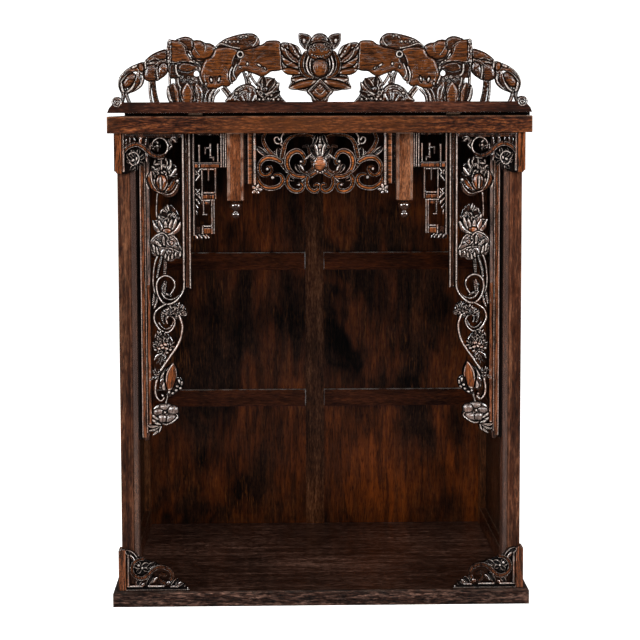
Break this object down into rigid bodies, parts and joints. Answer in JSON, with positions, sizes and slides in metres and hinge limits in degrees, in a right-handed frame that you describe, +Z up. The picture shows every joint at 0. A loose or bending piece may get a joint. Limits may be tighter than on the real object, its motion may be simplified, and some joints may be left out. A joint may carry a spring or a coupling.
{
  "type": "shrine cabinet",
  "caption": "Carved wooden shrine cabinet with an open front, a hanging openwork apron and a carved crest that folds forward, made to house a sacred figure.",
  "frame": {"origin": "bottom centre of the bounding box, on the base board's underside", "axes": "the open front faces -Y, +X is to the right seen from the front, +Z is up"},
  "size_m": [0.7, 0.5436, 0.9558],
  "materials": {
    "frame_wood": "dark reddish hardwood under an old glossy varnish",
    "panel_wood": "dark stained boards, blotched, dull satin",
    "carved_wood": "dark carved hardwood, varnished, worn orange-brown on its high points",
    "hinge_iron": "dark tarnished"
  },
  "bodies": {
    "cabinet": {"apron_centre": "carved_wood", "apron_side_left": "carved_wood", "apron_side_right": "carved_wood", "back_panel_bottom_left": "panel_wood", "back_panel_bottom_right": "panel_wood", "back_panel_middle_left": "panel_wood", "back_panel_middle_right": "panel_wood", "back_panel_top_left": "panel_wood", "back_panel_top_right": "panel_wood", "back_rail_lower_left": "frame_wood", "back_rail_lower_right": "frame_wood", "back_rail_upper_left": "frame_wood", "back_rail_upper_right": "frame_wood", "back_stile_centre": "frame_wood", "base_board": "frame_wood", "bracket_foot_left": "carved_wood", "bracket_foot_right": "carved_wood", "bracket_top_left": "carved_wood", "bracket_top_right": "carved_wood", "crest_batten": "frame_wood", "front_post_left": "frame_wood", "front_post_right": "frame_wood", "hinge_left_lower_leaf": "hinge_iron", "hinge_left_pin": "hinge_iron", "hinge_right_lower_leaf": "hinge_iron", "hinge_right_pin": "hinge_iron", "key_fret_left": "carved_wood", "key_fret_right": "carved_wood", "pendant_left": "frame_wood", "pendant_right": "frame_wood", "rear_stile_left": "frame_wood", "rear_stile_right": "frame_wood", "side_panel_bottom_left": "panel_wood", "side_panel_bottom_right": "panel_wood", "side_panel_middle_left": "panel_wood", "side_panel_middle_right": "panel_wood", "side_panel_top_left": "panel_wood", "side_panel_top_right": "panel_wood", "side_rail_bottom_left": "frame_wood", "side_rail_bottom_right": "frame_wood", "side_rail_lower_left": "frame_wood", "side_rail_lower_right": "frame_wood", "side_rail_top_left": "frame_wood", "side_rail_top_right": "frame_wood", "side_rail_upper_left": "frame_wood", "side_rail_upper_right": "frame_wood", "top_board": "frame_wood"},
    "crest": {"crest_rail": "frame_wood", "crest_carving": "carved_wood", "hinge_left_upper_leaf": "hinge_iron", "hinge_right_upper_leaf": "hinge_iron"}
  },
  "joints": [
    {"name": "crest_fold", "type": "hinge", "parent": "cabinet", "child": "crest", "pos_m": [0, -0.26935, 0.8233], "axis": [1, 0, 0], "range_deg": [0, 175]}
  ]
}
